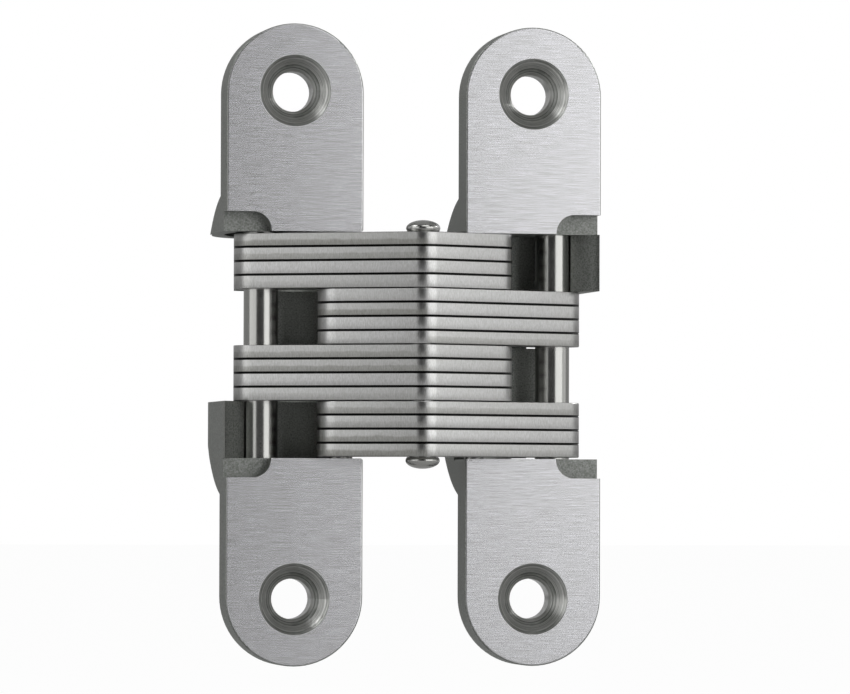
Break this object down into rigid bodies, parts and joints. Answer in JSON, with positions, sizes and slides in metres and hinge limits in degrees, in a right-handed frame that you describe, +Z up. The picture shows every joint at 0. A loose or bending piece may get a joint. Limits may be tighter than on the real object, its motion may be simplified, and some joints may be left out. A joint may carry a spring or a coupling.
{
  "type": "concealed door hinge",
  "caption": "Concealed hinge laid open flat: two round-ended leaves with countersunk screw holes and deep cups behind, joined by a stack of crooked steel links on a riveted centre pin",
  "frame": {"origin": "on the back of the frame leaf's flange, which seats in the mortise, midway between its two screw holes", "axes": "+X runs from the frame leaf across to the door leaf, +Y into the wood, +Z up along the leaves"},
  "size_m": [0.0699, 0.0493, 0.1174],
  "materials": {
    "casting": "cast metal with a satin plated finish, brushed along the faces",
    "link_steel": "stamped steel with rolled edges, satin",
    "pin_steel": "drawn steel rod, polished"
  },
  "bodies": {
    "frame_side": {"frame_leaf": "casting", "frame_pivot_pin": "pin_steel"},
    "frame_links": {"frame_link_1": "link_steel", "frame_link_2": "link_steel", "frame_link_3": "link_steel", "frame_link_4": "link_steel", "frame_link_5": "link_steel", "frame_link_6": "link_steel", "frame_link_7": "link_steel", "frame_link_8": "link_steel", "centre_pin": "pin_steel", "door_slider_pin": "pin_steel"},
    "door_links": {"door_link_1": "link_steel", "door_link_2": "link_steel", "door_link_3": "link_steel", "door_link_4": "link_steel", "door_link_5": "link_steel", "door_link_6": "link_steel", "door_link_7": "link_steel", "door_link_8": "link_steel", "frame_slider_pin": "pin_steel"},
    "door_side": {"door_leaf": "casting", "door_pivot_pin": "pin_steel"}
  },
  "joints": [
    {"name": "frame_pivot", "type": "hinge", "parent": "frame_side", "child": "frame_links", "pos_m": [0.00958, 0.0004, 0], "axis": [0, 0, -1], "range_deg": [0, 104.5]},
    {"name": "centre_pivot", "type": "hinge", "parent": "frame_links", "child": "door_links", "pos_m": [0.02225, -0.015, 0], "axis": [0, 0, -1], "range_deg": [-29.05, 0]},
    {"name": "door_pivot", "type": "hinge", "parent": "door_links", "child": "door_side", "pos_m": [0.03492, 0.0004, 0], "axis": [0, 0, -1], "range_deg": [0, 104.52]}
  ],
  "couplings": [
    {"joint": "centre_pivot", "follows": "frame_pivot", "ratio": -0.27786},
    {"joint": "door_pivot", "follows": "frame_pivot", "ratio": 1}
  ]
}
